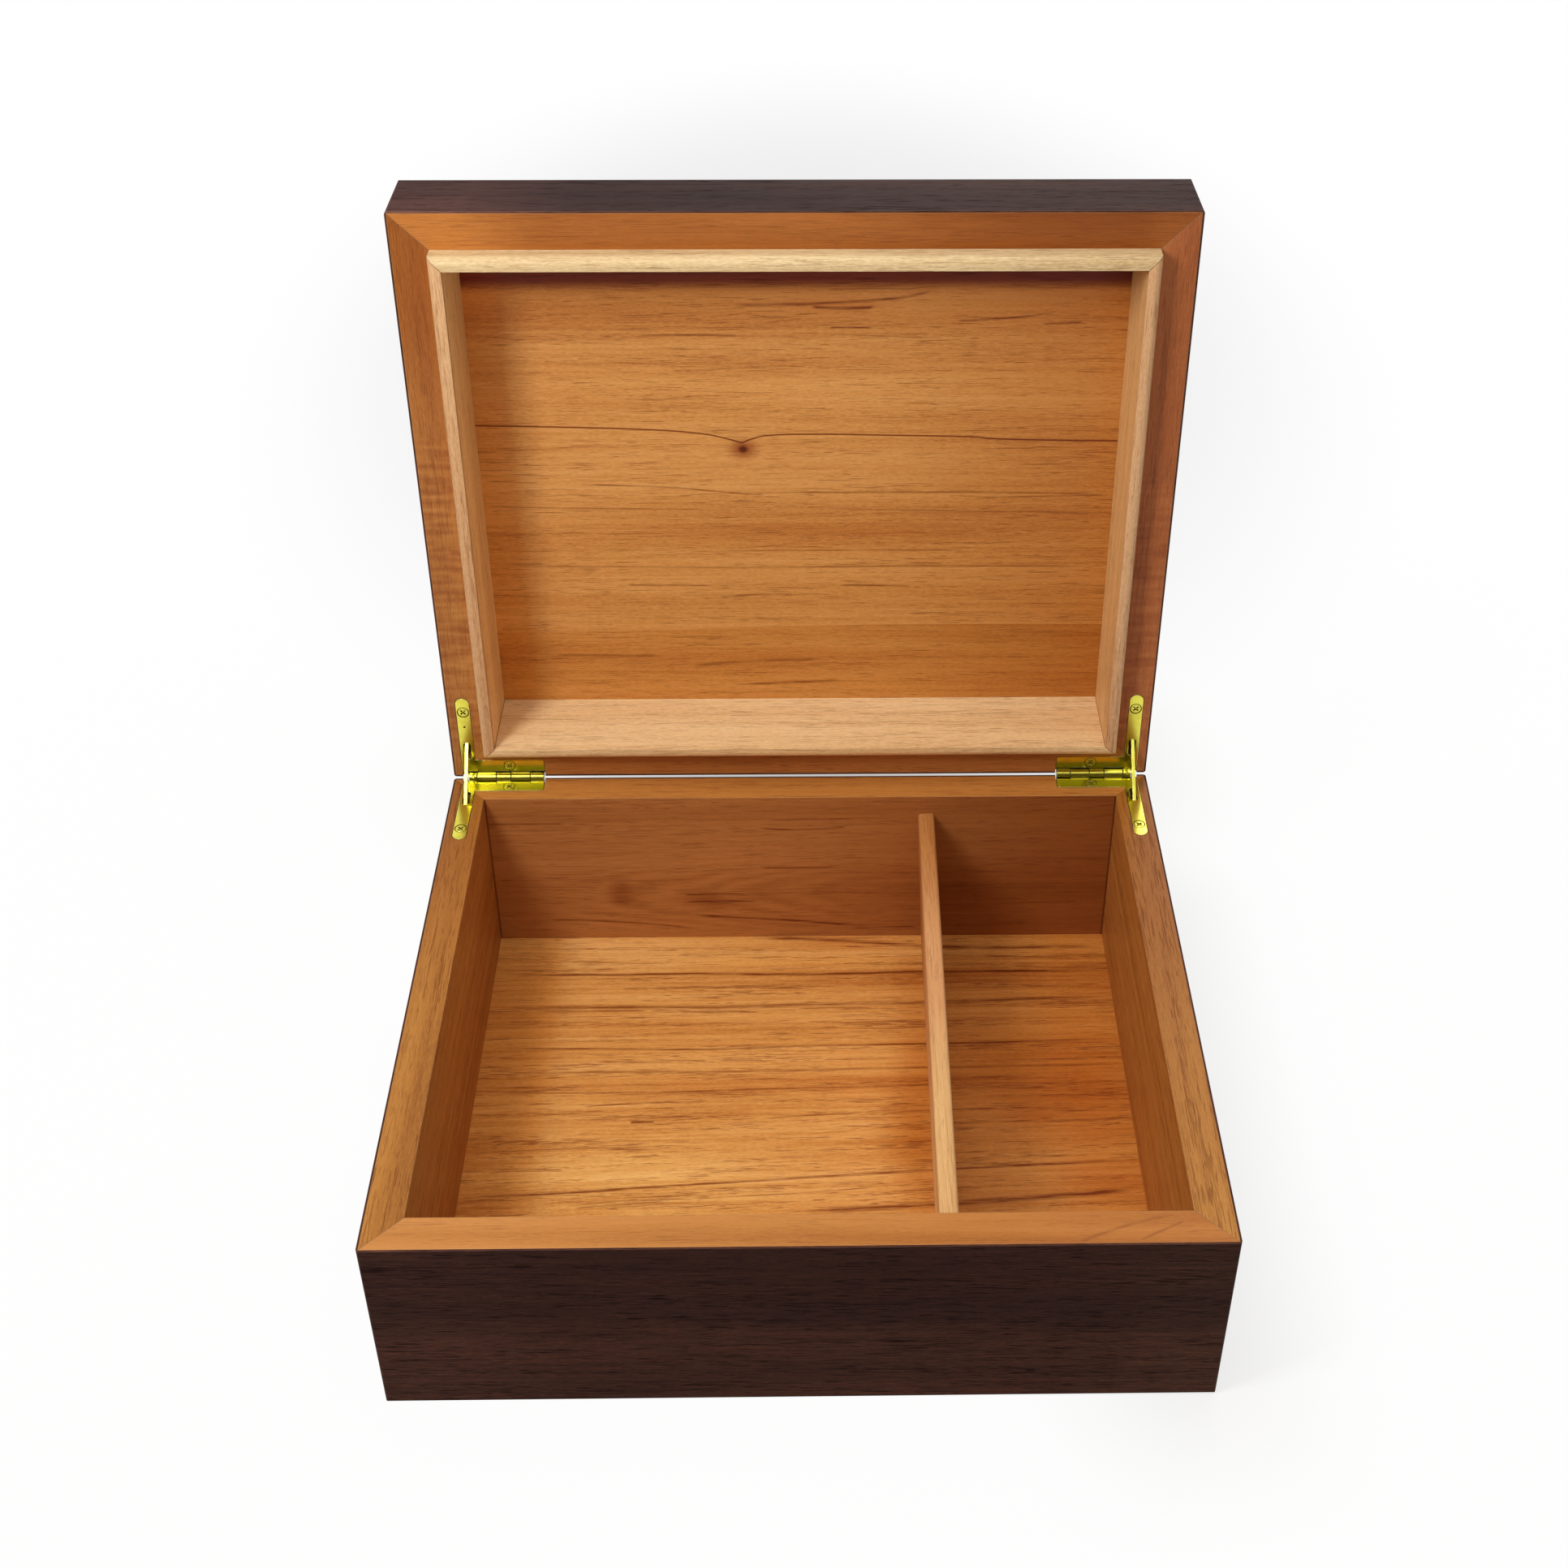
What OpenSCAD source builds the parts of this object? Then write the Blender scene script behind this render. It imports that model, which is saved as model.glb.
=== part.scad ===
// Hinged wooden box with one fixed divider, for watches and jewellery.
// The base and the lid are mitred frames of 12 mm boards with thin panels,
// skinned in dark walnut. A mitred lip of pale wood inside the lid drops into
// the base. Two quadrant hinges join them: each has two L-shaped leaves let in
// flush with the rims, five knuckles on one pin, and a stay that slides through
// a slot in each leaf and stops the lid just past upright.
//
// Origin: middle of the underside. X to the right, Y to the back, Z up.
// The lid stands open, resting on its stays.

/* [Box] */
// Width of the box over its skins
box_w = 250; // [180:1:340]
// Depth of the box over its skins
box_d = 213; // [140:1:300]
// Height of the base
base_h = 70; // [40:1:120]
// Height of the lid
lid_h = 27.7; // [24:0.1:45]
// Thickness of a base wall with its skin
wall_t = 12; // [11:0.25:15]
// Gap between the two rims when the lid is shut
rim_gap = 0.3; // [0.3:0.05:0.6]
// Angle the lid opens to, where the stays stop it
open_angle = 92; // [80:1:96]

/* [Edges] */
// Radius on the upright outer corners
corner_r = 1; // [0.7:0.1:1.6]
// Radius round the top of the lid
lid_edge_r = 1.8; // [0.7:0.1:2]
// Radius round the bottom of the base
base_edge_r = 1.3; // [0.7:0.1:1.6]

/* [Skins and panels] */
// Thickness of the walnut skins
skin_t = 0.6; // [0.4:0.1:0.9]
// Thickness of the floor panel
floor_t = 2.7; // [2:0.1:5]
// Thickness of the lid panel
lid_panel_t = 2.6; // [2:0.1:4]
// Width of the rebate that holds each panel
rebate_w = 6; // [4:0.5:8]

/* [Divider] */
// Thickness of the divider
divider_t = 5.8; // [4:0.2:10]
// Distance of the divider's foot to the right of the middle
divider_x = 46.7; // [-60:0.1:60]
// Angle that the divider's top leans to the left
divider_lean = 2.5; // [0:0.5:4]
// Angle that the divider's front end is turned to the left
divider_turn = 0.55; // [0:0.05:1]
// Space between the divider and the lip of the closed lid
divider_gap = 0.9; // [0.4:0.1:3]
// Radius on the divider's two top edges
divider_edge_r = 1.2; // [0.5:0.1:1.8]

/* [Lip] */
// Thickness of the lip strips
lip_t = 4.3; // [3.6:0.1:6]
// Height that the lip stands proud of the lid's rim
lip_proud = 7.2; // [4:0.1:10]
// Space between the lip and the base walls
lip_gap = 0.3; // [0.25:0.05:0.6]
// Radius on the lip's outer edge
lip_edge_r = 2.6; // [1:0.1:3]

/* [Hinge leaves] */
// Thickness of a leaf
leaf_t = 1.2; // [1:0.1:1.5]
// Length of the side arm from the back of the box
side_arm_len = 33.9; // [31:0.1:42]
// Width of the side arm
side_arm_w = 4.8; // [4.6:0.1:5.6]
// Distance of the side arm from the side of the box
side_arm_inset = 3.4; // [2.6:0.1:3.8]
// How far the back arm reaches past the barrel
back_arm_over = 0.2; // [0:0.1:8]
// Front edge of the back arm from the back of the box
back_arm_front = 7.1; // [6.8:0.1:7.6]
// Radius on the free corners of the back arm
back_arm_r = 1.2; // [0.4:0.1:2]
// Clearance between a leaf and its mortise
mortise_gap = 0.2; // [0.05:0.05:0.3]

/* [Hinge barrel] */
// Radius of the hinge pin
pin_r = 0.9; // [0.7:0.05:1]
// Distance of the pin behind the back of the box
pin_out = 0.4; // [0.3:0.05:1]
// Side of the box to the near end of the barrel
barrel_start = 5.5; // [5:0.1:6.5]
// Width of the small knuckle nearest the side of the box
small_knuckle_w = 2.9; // [2:0.1:4]
// Width of the two knuckles of the second leaf
wide_knuckle_w = 6.9; // [5:0.1:8]
// Width of the middle knuckle of the first leaf
middle_knuckle_w = 5.3; // [4:0.1:7]
// Width of the knuckle at the far end
end_knuckle_w = 4.9; // [3.5:0.1:7]
// Gap between neighbouring knuckles
knuckle_gap = 0.2; // [0.15:0.05:0.3]
// Radial clearance of the pin in the knuckles
pin_gap = 0.04; // [0.02:0.01:0.08]
// Clearance around the barrel in the boards
barrel_gap = 0.25; // [0.2:0.05:0.4]
// Gap between a leaf and the knuckles of the other leaf
leaf_relief = 0.6; // [0.25:0.05:0.9]

/* [Stays] */
// Distance of the stay's centre line from the pin
stay_off = 9.3; // [9:0.1:9.6]
// Width of the stay, towards the pin
stay_w = 2; // [1.6:0.1:2.2]
// Thickness of the stay, along the pin
stay_t = 1.1; // [0.9:0.1:1.4]
// Radius of the cross pin at each end of a stay
stop_r = 1.3; // [1.2:0.1:1.5]
// Length of the cross pins
stop_w = 3.6; // [3.4:0.1:3.8]
// Width of the slots, along the pin
slot_w = 2.6; // [2.4:0.1:2.8]
// Clearance at the ends of the slots and in the pockets
slot_gap = 0.3; // [0.25:0.05:0.4]
// Width of the pockets in the boards under the slots
pocket_w = 4.2; // [4.1:0.1:4.4]

/* [Screws] */
// Radius of a screw's head
screw_head_r = 1.9; // [1.6:0.1:2]
// Radius of a screw's shank
screw_r = 1.1; // [0.9:0.1:1.3]
// Length of a screw
screw_len = 12; // [8:0.5:14]
// Depth of a screw head below the leaf's face
screw_sink = 0.1; // [0:0.05:0.2]
// Width of the cross recess in a screw head
recess_w = 0.55; // [0.4:0.05:0.7]
// Length of the cross recess, tip to tip
recess_len = 2.4; // [1.8:0.1:2.8]
// Depth of the cross recess
recess_depth = 0.5; // [0.3:0.05:0.7]
// Side-arm screw from the back of the box
side_screw = 28; // [26:0.1:29]
// Back-arm screw from the side of the box
back_screw = 20.3; // [14:0.1:28]
// Back-arm screw in front of the middle of its arm
back_screw_off = 0.25; // [0:0.05:0.4]

/* [Hidden] */

$fn = 48;
cut = 1;                                       // overrun of a cutting shape
screw_gap = 0.05;                              // shank to pilot hole

back_y = box_d / 2;
rail_t = wall_t + lip_gap;                     // a lid rail with its skin
lid_z = base_h + rim_gap;                      // rim of the closed lid
lid_top = lid_z + lid_h;
lid_ceiling = lid_top - skin_t - lid_panel_t;  // inner face of the lid panel
lip_z = lid_z - lip_proud;                     // lower edge of the lip
divider_top = lip_z - divider_gap;

pin_y = back_y + pin_out;
pin_z = base_h + rim_gap / 2;
barrel_r = pin_r + leaf_t;                     // a leaf rolled round the pin
knuckle_w = [small_knuckle_w, wide_knuckle_w, middle_knuckle_w, wide_knuckle_w, end_knuckle_w];
knuckles = len(knuckle_w);
barrel_end = knuckle_at(knuckles);
back_arm_len = barrel_end + back_arm_over;     // from the side of the box
leaf_back = sqrt(pow(barrel_r, 2) - pow(rim_gap / 2, 2)) - pin_out;

side_arm_mid = side_arm_inset + side_arm_w / 2;
back_screw_y = (leaf_back + back_arm_front) / 2 + back_screw_off;
cone_h = screw_head_r - screw_r;               // a 90 degree countersink

// The stay stands square to the line that halves the angle between the rims
half_angle = open_angle / 2;
stop_gap = 0.1;                                // cross pin to the leaf's underside
stop_at = (stay_off * sin(half_angle) + rim_gap / 2 + leaf_t + stop_gap + stop_r)
    / cos(half_angle);                         // cross pin from the middle of the stay
stop_reach = norm([stay_off, stop_at]) + stop_r;
slot_start = stay_off - stay_w / 2 - slot_gap; // lid shut; all from the pin
slot_end = (stay_off + stay_w / 2) / cos(half_angle) + rim_gap / 2 * tan(half_angle) + slot_gap;
pocket_start = stay_off - stop_r - slot_gap;
pocket_end = stop_reach + slot_gap;
pocket_z = stop_at + stop_r + slot_gap - rim_gap / 2;

walnut = [0.20, 0.13, 0.09];
board = [0.66, 0.42, 0.22];
rail = [0.60, 0.38, 0.22];
panel = [0.70, 0.45, 0.24];
pale = [0.90, 0.76, 0.56];
alder = [0.80, 0.60, 0.38];
brass = [0.86, 0.68, 0.20];

// ---- shared outlines -------------------------------------------------

// Rectangle about the origin with rounded corners
module rounded(w, d, r) {
    square([w - 2 * r, d], center = true);
    square([w, d - 2 * r], center = true);
    for (x = [-1, 1], y = [-1, 1])
        translate([x * (w / 2 - r), y * (d / 2 - r)]) circle(r);
}

// Rectangle from z1 to z2 with its two corners at z2 rounded
module arch(w, z1, z2, r) {
    s = sign(z2 - z1);
    translate([-w / 2, min(z1, z2 - s * r)]) square([w, abs(z2 - z1) - r]);
    translate([-w / 2 + r, min(z1, z2)]) square([w - 2 * r, abs(z2 - z1)]);
    for (x = [-1, 1]) translate([x * (w / 2 - r), z2 - s * r]) circle(r);
}

// Prism with its profile in the XZ plane, centred on the Y axis
module along_y(len) {
    translate([0, len / 2, 0]) rotate([90, 0, 0]) linear_extrude(len) children();
}

// Prism with its profile drawn as [y, z], centred on the X axis
module along_x(len) {
    rotate([0, 0, 90]) along_y(len) children();
}

// One side of a mitred frame between two insets: 0 front, 1 right, 2 back, 3 left
module frame_side(side, inset1, inset2, z1, z2) {
    turned = side % 2 == 1;
    w = turned ? box_d : box_w;
    d = turned ? box_w : box_d;
    rotate([0, 0, 90 * side]) translate([0, 0, z1]) linear_extrude(z2 - z1)
        polygon([
            [-w / 2 + inset1, -d / 2 + inset1], [w / 2 - inset1, -d / 2 + inset1],
            [w / 2 - inset2, -d / 2 + inset2], [-w / 2 + inset2, -d / 2 + inset2]
        ]);
}

// Outside of the base, eased at its corners and round its bottom
module base_envelope() {
    intersection() {
        linear_extrude(base_h) rounded(box_w, box_d, corner_r);
        along_y(box_d + cut) arch(box_w, base_h, 0, base_edge_r);
        along_x(box_w + cut) arch(box_d, base_h, 0, base_edge_r);
    }
}

// Outside of the closed lid, eased at its corners and round its top
module lid_envelope() {
    intersection() {
        translate([0, 0, lid_z]) linear_extrude(lid_h) rounded(box_w, box_d, corner_r);
        along_y(box_d + cut) arch(box_w, lid_z, lid_top, lid_edge_r);
        along_x(box_w + cut) arch(box_d, lid_z, lid_top, lid_edge_r);
    }
}

// Outside of the lip, rounded round its lower edge
module lip_envelope() {
    w = box_w - 2 * rail_t;
    d = box_d - 2 * rail_t;
    intersection() {
        along_y(d) arch(w, lid_ceiling, lip_z, lip_edge_r);
        along_x(w) arch(d, lid_ceiling, lip_z, lip_edge_r);
    }
}

// ---- placing ---------------------------------------------------------

// Turns the closed lid about the pin
module swing(angle) {
    translate([0, pin_y, pin_z]) rotate([angle, 0, 0]) translate([0, -pin_y, -pin_z]) children();
}

module opened() {
    swing(-open_angle) children();
}

// The right-hand hinge is drawn for the base; the others are its mirror images
module hand(left) {
    mirror([left ? 1 : 0, 0, 0]) children();
}

module over_to_lid() {
    translate([0, 0, 2 * pin_z]) mirror([0, 0, 1]) children();
}

// Puts u (in from the side), v (in from the back) and the rim at z = 0
module at_corner() {
    translate([box_w / 2, back_y, base_h]) mirror([1, 0, 0]) mirror([0, 1, 0]) children();
}

// A bar along the barrel between two distances from the side
module barrel_bar(u1, u2, r) {
    translate([box_w / 2 - u2, pin_y, pin_z]) rotate([0, 90, 0]) cylinder(h = u2 - u1, r = r);
}

// ---- hinge -----------------------------------------------------------

function knuckle_at(i) = i == 0 ? barrel_start : knuckle_at(i - 1) + knuckle_w[i - 1];

// L-shaped outline of a leaf in u and v
module leaf_outline() {
    arm_r = side_arm_w / 2;
    back_w = back_arm_front - leaf_back;
    translate([side_arm_inset, leaf_back]) square([side_arm_w, side_arm_len - arm_r - leaf_back]);
    translate([side_arm_mid, side_arm_len - arm_r]) circle(arm_r);
    translate([side_arm_inset, leaf_back])
        square([back_arm_len - back_arm_r - side_arm_inset, back_w]);
    translate([side_arm_inset, leaf_back])
        square([back_arm_len - side_arm_inset, back_w - back_arm_r]);
    translate([back_arm_len - back_arm_r, back_arm_front - back_arm_r]) circle(back_arm_r);
}

// The slot that the stay slides in
module slot_outline() {
    v1 = slot_start - pin_out;
    v2 = slot_end - pin_out;
    translate([side_arm_mid - slot_w / 2, v1 + slot_w / 2]) square([slot_w, v2 - v1 - slot_w]);
    for (v = [v1, v2 - slot_w]) translate([side_arm_mid, v + slot_w / 2]) circle(slot_w / 2);
}

module at_screws() {
    at_corner() {
        translate([side_arm_mid, side_screw, 0]) children();
        translate([back_screw, back_screw_y, 0]) children();
    }
}

// Body of a screw below its seat, or the hole for it with clearance
module screw_shape(gap) {
    translate([0, 0, -screw_sink - screw_len - gap])
        cylinder(h = screw_len + gap - cone_h / 2, r = screw_r + gap);
    translate([0, 0, -screw_sink - cone_h])
        cylinder(h = cone_h + gap, r1 = screw_r + gap, r2 = screw_head_r + 2 * gap);
}

module screw() {
    difference() {
        screw_shape(0);
        for (a = [45, 135]) rotate([0, 0, a]) translate([0, 0, -screw_sink])
            cube([recess_len, recess_w, 2 * recess_depth], center = true);
    }
}

// A leaf carries every second knuckle, starting with the first or the second
module leaf(first) {
    difference() {
        union() {
            difference() {
                at_corner() {
                    translate([0, 0, -leaf_t]) linear_extrude(leaf_t) difference() {
                        leaf_outline();
                        slot_outline();
                    }
                }
                stay_bar(slot_gap / 2);
                for (i = [1 - first : 2 : knuckles - 1])
                    barrel_bar(knuckle_at(i) - knuckle_gap / 2,
                        knuckle_at(i) + knuckle_w[i] + knuckle_gap / 2, barrel_r + leaf_relief);
            }
            for (i = [first : 2 : knuckles - 1]) knuckle(i);
        }
        barrel_bar(barrel_start - cut, barrel_end + cut, pin_r + pin_gap);
        at_screws() {
            screw_shape(screw_gap);
            translate([0, 0, -screw_sink]) cylinder(h = cut, r = screw_head_r + 2 * screw_gap);
        }
    }
}

// A knuckle with the tongue that joins it to its leaf
module knuckle(i) {
    u1 = knuckle_at(i) + knuckle_gap / 2;
    u2 = knuckle_at(i) + knuckle_w[i] - knuckle_gap / 2;
    barrel_bar(u1, u2, barrel_r);
    at_corner() translate([u1, -pin_out, -leaf_t]) cube([u2 - u1, leaf_back + pin_out + cut, leaf_t]);
}

module pin() {
    barrel_bar(barrel_start + knuckle_gap / 2, barrel_end - knuckle_gap / 2, pin_r);
}

// Puts children drawn about the pin of the closed box where the stay rests
module at_stay() {
    translate([box_w / 2 - side_arm_mid, pin_y, pin_z]) rotate([-half_angle, 0, 0])
        translate([0, -stay_off, 0]) children();
}

// The stay's bar, or the way for it through the two leaves
module stay_bar(gap) {
    at_stay() cube([stay_t + 2 * gap, stay_w + 2 * gap, 2 * stop_at], center = true);
}

// The stay with a cross pin at each end, at rest under both leaves
module stay() {
    stay_bar(0);
    at_stay() for (z = [-stop_at, stop_at])
        translate([0, 0, z]) rotate([0, 90, 0]) cylinder(h = stop_w, r = stop_r, center = true);
}

// Everything that a rim gives up for one hinge: mortise, barrel, pocket and pilots
module hinge_cuts() {
    at_corner() {
        translate([0, 0, -leaf_t]) linear_extrude(leaf_t + cut) union() {
            leaf_outline();
            translate([side_arm_inset - mortise_gap, -cut])
                square([side_arm_w + 2 * mortise_gap, side_arm_len - side_arm_w / 2 + cut]);
            translate([side_arm_mid, side_arm_len - side_arm_w / 2])
                circle(side_arm_w / 2 + mortise_gap);
            translate([side_arm_inset, -cut])
                square([back_arm_len + mortise_gap - side_arm_inset,
                    back_arm_front - back_arm_r + cut]);
            translate([side_arm_inset, 0])
                square([back_arm_len - back_arm_r - side_arm_inset, back_arm_front + mortise_gap]);
            translate([back_arm_len - back_arm_r, back_arm_front - back_arm_r])
                circle(back_arm_r + mortise_gap);
        }
        translate([side_arm_mid - pocket_w / 2, pocket_start - pin_out, -pocket_z])
            cube([pocket_w, pocket_end - pocket_start, pocket_z + cut]);
    }
    barrel_bar(barrel_start - barrel_gap, barrel_end + barrel_gap,
        barrel_r + barrel_gap);
    at_screws() screw_shape(screw_gap);
}

module both_hinge_cuts() {
    for (left = [false, true]) hand(left) hinge_cuts();
}

// ---- base ------------------------------------------------------------

module base_wall(side) {
    color(board) difference() {
        intersection() {
            frame_side(side, skin_t, wall_t, 0, base_h);
            base_envelope();
        }
        linear_extrude(2 * floor_t, center = true)
            square([box_w - 2 * (wall_t - rebate_w), box_d - 2 * (wall_t - rebate_w)],
                center = true);
        both_hinge_cuts();
    }
}

module base_skin(side) {
    color(walnut) difference() {
        intersection() {
            frame_side(side, 0, skin_t, 0, base_h);
            base_envelope();
        }
        both_hinge_cuts();
    }
}

module base_front_wall() { base_wall(0); }
module base_right_wall() { base_wall(1); }
module base_back_wall() { base_wall(2); }
module base_left_wall() { base_wall(3); }
module base_front_skin() { base_skin(0); }
module base_right_skin() { base_skin(1); }
module base_back_skin() { base_skin(2); }
module base_left_skin() { base_skin(3); }

module floor_panel() {
    edge = 2 * (wall_t - rebate_w);
    color(panel) linear_extrude(floor_t) square([box_w - edge, box_d - edge], center = true);
}

// The divider leans and turns a little, and is trimmed to the floor and the walls
module divider() {
    depth = box_d - 2 * wall_t;
    color(alder) intersection() {
        translate([-box_w / 2, -depth / 2, floor_t]) cube([box_w, depth, base_h]);
        translate([divider_x, 0, floor_t]) rotate([0, -divider_lean, -divider_turn])
            along_y(box_d) arch(divider_t, -wall_t, divider_top - floor_t, divider_edge_r);
    }
}

// ---- lid, drawn closed and then opened --------------------------------

module lid_rail(side) {
    inner = rail_t - rebate_w;
    color(rail) opened() difference() {
        intersection() {
            frame_side(side, skin_t, rail_t, lid_z, lid_top - skin_t);
            lid_envelope();
        }
        translate([0, 0, lid_ceiling]) linear_extrude(lid_h)
            square([box_w - 2 * inner, box_d - 2 * inner], center = true);
        over_to_lid() both_hinge_cuts();
    }
}

module lid_skin(side) {
    color(walnut) opened() difference() {
        intersection() {
            frame_side(side, 0, skin_t, lid_z, lid_top - skin_t);
            lid_envelope();
        }
        over_to_lid() both_hinge_cuts();
    }
}

module lid_front_rail() { lid_rail(0); }
module lid_right_rail() { lid_rail(1); }
module lid_back_rail() { lid_rail(2); }
module lid_left_rail() { lid_rail(3); }
module lid_front_skin() { lid_skin(0); }
module lid_right_skin() { lid_skin(1); }
module lid_back_skin() { lid_skin(2); }
module lid_left_skin() { lid_skin(3); }

module lid_panel() {
    edge = 2 * (rail_t - rebate_w);
    color(panel) opened() translate([0, 0, lid_ceiling]) linear_extrude(lid_panel_t)
        square([box_w - edge, box_d - edge], center = true);
}

module lid_top_skin() {
    color(walnut) opened() intersection() {
        translate([-box_w / 2, -box_d / 2, lid_top - skin_t]) cube([box_w, box_d, skin_t]);
        lid_envelope();
    }
}

module lip(side) {
    color(pale) opened() intersection() {
        frame_side(side, rail_t, rail_t + lip_t, lip_z, lid_ceiling);
        lip_envelope();
    }
}

module lip_front() { lip(0); }
module lip_right() { lip(1); }
module lip_back() { lip(2); }
module lip_left() { lip(3); }

// ---- hinges: the left one is the right one turned over ------------------

module left_base_leaf() { color(brass) hand(true) leaf(0); }
module left_lid_leaf() { color(brass) opened() over_to_lid() hand(true) leaf(1); }
module right_base_leaf() { color(brass) hand(false) leaf(1); }
module right_lid_leaf() { color(brass) opened() over_to_lid() hand(false) leaf(0); }
module left_pin() { color(brass) hand(true) pin(); }
module right_pin() { color(brass) hand(false) pin(); }
module left_stay() { color(brass) hand(true) stay(); }
module right_stay() { color(brass) hand(false) stay(); }

module base_hinge_screws() {
    color(brass) for (left = [false, true]) hand(left) at_screws() screw();
}

module lid_hinge_screws() {
    color(brass) opened() over_to_lid()
        for (left = [false, true]) hand(left) at_screws() screw();
}

base_front_wall();
base_back_wall();
base_left_wall();
base_right_wall();
base_front_skin();
base_back_skin();
base_left_skin();
base_right_skin();
floor_panel();
divider();
lid_front_rail();
lid_back_rail();
lid_left_rail();
lid_right_rail();
lid_front_skin();
lid_back_skin();
lid_left_skin();
lid_right_skin();
lid_panel();
lid_top_skin();
lip_front();
lip_back();
lip_left();
lip_right();
left_base_leaf();
left_lid_leaf();
left_pin();
left_stay();
right_base_leaf();
right_lid_leaf();
right_pin();
right_stay();
base_hinge_screws();
lid_hinge_screws();
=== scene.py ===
"""Materials, light and camera for the hinged wooden box.

Lengths inside the wood and the brass are millimetres in each piece's own
coordinates, which are the box's at rest. The lid's pieces are turned back to
the closed lid there, so that every board lies along the axes and keeps its
figure in every pose.
"""

import math

import bpy
from mathutils import Matrix, Vector

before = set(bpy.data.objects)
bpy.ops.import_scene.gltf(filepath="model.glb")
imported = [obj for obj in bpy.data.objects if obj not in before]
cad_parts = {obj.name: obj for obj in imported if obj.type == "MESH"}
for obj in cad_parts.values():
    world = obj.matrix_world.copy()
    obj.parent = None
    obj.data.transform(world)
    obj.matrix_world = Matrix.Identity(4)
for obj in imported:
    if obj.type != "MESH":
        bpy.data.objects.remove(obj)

MM = 0.001

# The closed box in mm, for what is drawn to meet its edges.
BOX_HALF = (125.0, 106.5)
WALL_INNER = (113.0, 94.5)
BASE_RIM = 70.0
LID_RIM = 70.3
PIN_MM = Vector((0.0, 106.9, 70.15))   # the hinge's axis, along X
OPEN_ANGLE = math.radians(92)


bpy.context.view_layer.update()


# ---- building shader nodes ---------------------------------------------------

EDGE_COSINES = (0.995, 0.90)   # of the angle between the plain and the rounded normal
FLATTEST = 0.01                # least height of a curve in mm


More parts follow.
